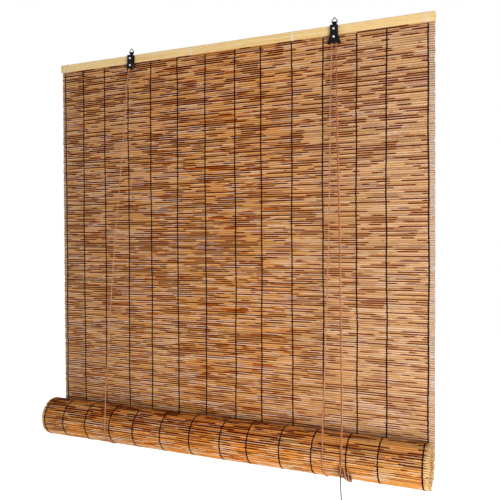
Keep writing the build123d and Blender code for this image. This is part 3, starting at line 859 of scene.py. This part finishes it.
# White ties round the rail, two turns at each place and two threads in each turn
tie_section = (
    (-0.0172, 0.0085), (-0.0160, 0.0103), (-0.0010, 0.0103), (-0.0004, 0.0090),
    (-0.0004, -0.0090), (-0.0010, -0.0103), (-0.0160, -0.0103), (-0.0172, -0.0085),
)
ties = []
for place in TIE_PLACES:
    for turn in TIE_TURNS:
        for thread in TIE_THREADS:
            slack = chance.gauss(0, TIE_SLACK)
            loop = [Vector((place + turn + thread + slack, y, z)) for y, z in tie_section]
            ties.append(round_wire("tie", loop, TIE_RADIUS, sides=6, closed=True))
dress(join(ties, "cotton_ties"), white_cotton, "headrail", "white_tie", "rail_ties")


# Hardware
def turned(name, profile, centre):
    """Piece turned about an axis along Y, from a profile of (radius, y)."""
    let_go()
    mesh = bpy.data.meshes.new(name)
    edges = [(number, number + 1) for number in range(len(profile) - 1)]
    mesh.from_pydata([(radius, y, 0) for radius, y in profile], edges, [])
    piece = hold(placed(name, mesh))
    bpy.ops.object.mode_set(mode="EDIT")
    bpy.ops.mesh.select_all(action="SELECT")
    bpy.ops.mesh.spin(steps=32, angle=FULL_TURN, center=(0, 0, 0), axis=(0, 1, 0))
    bpy.ops.mesh.select_all(action="SELECT")
    bpy.ops.mesh.remove_doubles(threshold=0.00001)
    bpy.ops.mesh.normals_make_consistent(inside=False)
    bpy.ops.object.mode_set(mode="OBJECT")
    piece.location = centre
    settle(piece)
    smooth(piece, 40)
    return piece


dome = ((0.0, -0.0013), (0.0009, -0.00122), (0.0018, -0.00095), (0.0025, -0.0005), (0.0028, 0.0))
fixing_profile = (*dome, (SHANK_RADIUS, 0.0), (SHANK_RADIUS, 0.0135), (0.0, 0.0135))
axle_profile = (
    *dome, (SHANK_RADIUS, 0.0), (SHANK_RADIUS, 0.0096), (0.0030, 0.0096), (0.0026, 0.0104), (0.0, 0.0107),
)
for kind, profile, z in (("fixing", fixing_profile, 0), ("axle", axle_profile, AXLE_Z)):
    rivets = [turned(kind, profile, (x, PLATE_FRONT, z)) for x in (LEFT_X, LOCK_X)]
    dress(join(rivets, kind + "_rivet_pair"), rivet_steel, "headrail", "rivet_steel", kind + "_rivets")


def pulley_profile(flange, root):
    """Half section of a grooved wheel, from bore to bore round its rim."""
    return (
        (BORE_RADIUS, -HALF_WHEEL), (flange - 0.0004, -HALF_WHEEL), (flange, -0.0024), (flange, -0.0021),
        (root + 0.0007, -0.0017), (root, -0.0009), (root, 0.0009), (root + 0.0007, 0.0017),
        (flange, 0.0021), (flange, 0.0024), (flange - 0.0004, HALF_WHEEL), (BORE_RADIUS, HALF_WHEEL),
        (BORE_RADIUS, -HALF_WHEEL),
    )


for hanger, x, flange, root in (("left", LEFT_X, 0.0085, 0.0047), ("lock", LOCK_X, 0.0056, 0.0027)):
    wheel = turned(hanger + "_grooved_wheel", pulley_profile(flange, root), (x, PULLEY_Y, AXLE_Z))
    dress(wheel, pulley_steel, hanger + "_wheel", "pulley_steel", hanger + "_pulley")

ring_outline = (
    (-0.0051, 0.0), (0.0051, 0.0), (0.0058, 0.0004), (0.0064, 0.0015), (0.0067, 0.0026), (0.0064, 0.0037),
    (0.0014, 0.0102), (0.0008, 0.0108), (0.0, 0.0110), (-0.0008, 0.0108), (-0.0014, 0.0102),
    (-0.0064, 0.0037), (-0.0067, 0.0026), (-0.0064, 0.0015), (-0.0058, 0.0004),
)
for hanger, x in (("left", LEFT_X), ("lock", LOCK_X)):
    bent = [Vector((x + side, KNUCKLE_Y, KNUCKLE_Z + up)) for side, up in ring_outline]
    ring = round_wire(hanger + "_hang_ring_wire", bent, RING_WIRE_RADIUS, sides=10, closed=True)
    dress(ring, black_steel, hanger + "_ring", "black_steel", hanger + "_hang_ring")

# Pieces that keep the shape of the part
kept_pieces = (
    (rail_wood, ("front_slat", "back_slat")),
    (rod_wood, ("bottom_rod",)),
    (black_steel, ("left_back_cheek", "left_front_cheek", "lock_back_plate", "lock_housing")),
)
for finish, nodes in kept_pieces:
    for node in nodes:
        bpy.data.objects[node].data.materials.clear()
        bpy.data.objects[node].data.materials.append(finish)


# Camera, light and ground
def look():
    """Camera where the photograph was taken."""
    lens = bpy.data.cameras.new("camera")
    lens.lens = LENS
    lens.sensor_width = 36
    camera = placed("camera", lens)
    camera.location = CAMERA_PLACE
    camera.rotation_euler = [math.radians(turn) for turn in CAMERA_TURN]
    bpy.context.scene.camera = camera


def lamp(name, place, target, size, power):
    """Soft square lamp aimed at a point."""
    light = bpy.data.lights.new(name, "AREA")
    light.size = size
    light.energy = power
    holder = placed(name, light)
    holder.location = place
    holder.rotation_euler = (Vector(target) - Vector(place)).to_track_quat("-Z", "Y").to_euler()


def sky():
    """White for a ray straight from the camera, a mirror or glass, and soft grey light for the blind."""
    world = bpy.data.worlds.new("studio")
    bpy.context.scene.world = world
    world.use_nodes = True
    nodes, links = world.node_tree.nodes, world.node_tree.links
    nodes.clear()
    path = nodes.new("ShaderNodeLightPath")
    rays = [path.outputs[kind] for kind in ("Is Camera Ray", "Is Glossy Ray", "Is Transmission Ray")]
    either = nodes.new("ShaderNodeMixShader")
    links.new(combine(nodes, links, "MAXIMUM", *rays), either.inputs["Fac"])
    for socket, (tint, strength) in zip(either.inputs[1:], ((SKY_TINT, SKY_STRENGTH), (WHITE, 1.0))):
        background = nodes.new("ShaderNodeBackground")
        background.inputs["Color"].default_value = (*tint, 1)
        background.inputs["Strength"].default_value = strength
        links.new(background.outputs["Background"], socket)
    out = nodes.new("ShaderNodeOutputWorld")
    links.new(either.outputs["Shader"], out.inputs["Surface"])


def ground():
    """Pale floor well below the blind, which glows for the camera alone."""
    let_go()
    bpy.ops.mesh.primitive_plane_add(size=9, location=(0, 1.0, FLOOR_Z))
    floor = settle(bpy.context.object)
    floor.name = "floor"
    finish, nodes, links, shader = new_finish("pale_floor")
    shader.inputs["Base Color"].default_value = (0.9, 0.9, 0.9, 1)
    shader.inputs["Roughness"].default_value = 0.9
    shader.inputs["Emission Color"].default_value = (*WHITE, 1)
    seen = nodes.new("ShaderNodeLightPath").outputs["Is Camera Ray"]
    links.new(combine(nodes, links, "MULTIPLY", seen, FLOOR_GLOW), shader.inputs["Emission Strength"])
    floor.data.materials.append(finish)


look()
sky()
ground()
lamp("key", place=(1.35, -1.45, -0.80), target=(0.1, 0, -0.5), size=0.7, power=26)
lamp("fill", place=(-1.2, -2.4, -0.9), target=(0, 0, -0.5), size=2.0, power=7)
lamp("back", place=(0.3, 1.6, 0.9), target=(0, 0, -0.4), size=2.0, power=14)
bpy.context.scene.view_settings.view_transform = "Standard"
